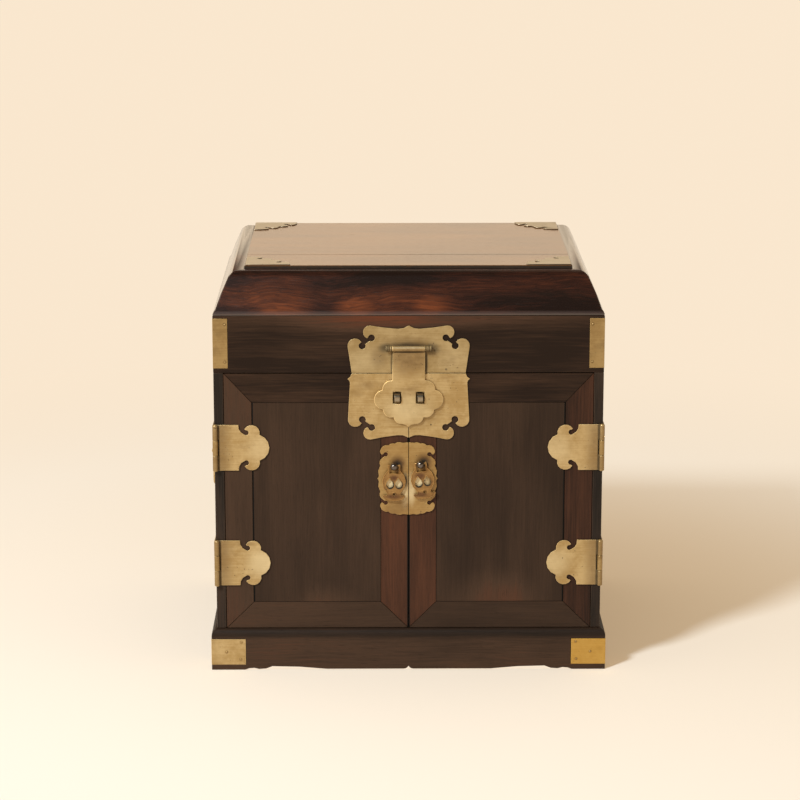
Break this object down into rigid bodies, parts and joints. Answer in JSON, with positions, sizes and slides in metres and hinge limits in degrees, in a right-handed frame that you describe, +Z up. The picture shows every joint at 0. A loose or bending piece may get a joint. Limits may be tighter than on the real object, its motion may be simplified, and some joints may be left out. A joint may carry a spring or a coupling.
{
  "type": "seal chest",
  "caption": "Hardwood seal chest with a lift lid over a tray, paired front doors hiding small drawers, side bails and cut brass mounts.",
  "frame": {"origin": "on the floor under the middle of the case", "axes": "+Z up, -Y out of the front with the doors, +X to the right seen from the front"},
  "size_m": [0.3644, 0.2986, 0.3678],
  "materials": {
    "dark_rosewood": "satin wax",
    "red_rosewood": "satin wax",
    "inner_wood": "matt",
    "brass": "satin, worn",
    "red_brass": "satin, worn"
  },
  "bodies": {
    "root": {"base_frame": "dark_rosewood", "left_side": "dark_rosewood", "right_side": "dark_rosewood", "back_panel": "dark_rosewood", "case_floor": "inner_wood", "tray": "inner_wood", "drawer_rack": "inner_wood", "base_corner_front_left": "brass", "base_corner_front_right": "brass", "base_corner_back_left": "brass", "base_corner_back_right": "brass", "left_lower_hinge_case_leaf": "brass", "left_upper_hinge_case_leaf": "brass", "right_lower_hinge_case_leaf": "brass", "right_upper_hinge_case_leaf": "brass", "left_lid_hinge_case_leaf": "brass", "right_lid_hinge_case_leaf": "brass", "left_handle_plate": "brass", "right_handle_plate": "brass"},
    "lid": {"lid_rim": "dark_rosewood", "lid_roof": "red_rosewood", "lid_top": "red_rosewood", "lid_corner_front_left": "brass", "lid_corner_front_right": "brass", "lid_corner_back_left": "brass", "lid_corner_back_right": "brass", "lid_mount_front_left": "brass", "lid_mount_front_right": "brass", "lid_mount_back_left": "brass", "lid_mount_back_right": "brass", "lock_upper_plate": "brass", "left_lid_hinge_lid_leaf": "brass", "right_lid_hinge_lid_leaf": "brass"},
    "hasp": {"hasp": "brass"},
    "left_door": {"left_door_meeting_stile": "dark_rosewood", "left_door_hinge_stile": "dark_rosewood", "left_door_foot_rail": "dark_rosewood", "left_door_top_rail": "dark_rosewood", "left_door_panel": "dark_rosewood", "lock_left_plate": "brass", "left_pull_plate": "brass", "left_lower_hinge_door_leaf": "brass", "left_upper_hinge_door_leaf": "brass"},
    "right_door": {"right_door_meeting_stile": "dark_rosewood", "right_door_hinge_stile": "dark_rosewood", "right_door_foot_rail": "dark_rosewood", "right_door_top_rail": "dark_rosewood", "right_door_panel": "dark_rosewood", "lock_right_plate": "brass", "right_pull_plate": "brass", "right_lower_hinge_door_leaf": "brass", "right_upper_hinge_door_leaf": "brass"},
    "left_pendant": {"left_pendant": "red_brass"},
    "right_pendant": {"right_pendant": "red_brass"},
    "left_lower_drawer": {"left_lower_drawer": "inner_wood"},
    "left_upper_drawer": {"left_upper_drawer": "inner_wood"},
    "right_lower_drawer": {"right_lower_drawer": "inner_wood"},
    "right_upper_drawer": {"right_upper_drawer": "inner_wood"},
    "left_bail": {"left_bail": "brass"},
    "right_bail": {"right_bail": "brass"}
  },
  "joints": [
    {"name": "lid_open", "type": "hinge", "parent": "root", "child": "lid", "pos_m": [0, 0.1442, 0.27515], "axis": [-1, 0, 0], "range_deg": [0, 110]},
    {"name": "hasp_swing", "type": "hinge", "parent": "lid", "child": "hasp", "pos_m": [0, -0.14585, 0.2979], "axis": [-1, 0, 0], "range_deg": [0, 160]},
    {"name": "left_door_swing", "type": "hinge", "parent": "root", "child": "left_door", "pos_m": [-0.1725, -0.1442, 0.038], "axis": [0, 0, -1], "range_deg": [0, 180]},
    {"name": "right_door_swing", "type": "hinge", "parent": "root", "child": "right_door", "pos_m": [0.1725, -0.1442, 0.038], "axis": [0, 0, 1], "range_deg": [0, 180]},
    {"name": "left_pendant_swing", "type": "hinge", "parent": "left_door", "child": "left_pendant", "pos_m": [-0.0131, -0.145, 0.1908], "axis": [-1, 0, 0], "range_deg": [0, 75]},
    {"name": "right_pendant_swing", "type": "hinge", "parent": "right_door", "child": "right_pendant", "pos_m": [0.0103, -0.145, 0.1926], "axis": [-1, 0, 0], "range_deg": [0, 75]},
    {"name": "left_lower_drawer_slide", "type": "slide", "parent": "root", "child": "left_lower_drawer", "axis": [0, -1, 0], "range_m": [0, 0.06]},
    {"name": "left_upper_drawer_slide", "type": "slide", "parent": "root", "child": "left_upper_drawer", "axis": [0, -1, 0], "range_m": [0, 0.06]},
    {"name": "right_lower_drawer_slide", "type": "slide", "parent": "root", "child": "right_lower_drawer", "axis": [0, -1, 0], "range_m": [0, 0.06]},
    {"name": "right_upper_drawer_slide", "type": "slide", "parent": "root", "child": "right_upper_drawer", "axis": [0, -1, 0], "range_m": [0, 0.06]},
    {"name": "left_bail_swing", "type": "hinge", "parent": "root", "child": "left_bail", "pos_m": [-0.1789, 0, 0.178], "axis": [0, 1, 0], "range_deg": [0, 90]},
    {"name": "right_bail_swing", "type": "hinge", "parent": "root", "child": "right_bail", "pos_m": [0.1789, 0, 0.178], "axis": [0, -1, 0], "range_deg": [0, 90]}
  ],
  "couplings": [
    {"joint": "left_lower_drawer_slide", "follows": "left_door_swing", "m_per_rad": 0.019},
    {"joint": "left_upper_drawer_slide", "follows": "left_door_swing", "m_per_rad": 0.019},
    {"joint": "right_lower_drawer_slide", "follows": "right_door_swing", "m_per_rad": 0.019},
    {"joint": "right_upper_drawer_slide", "follows": "right_door_swing", "m_per_rad": 0.019}
  ]
}
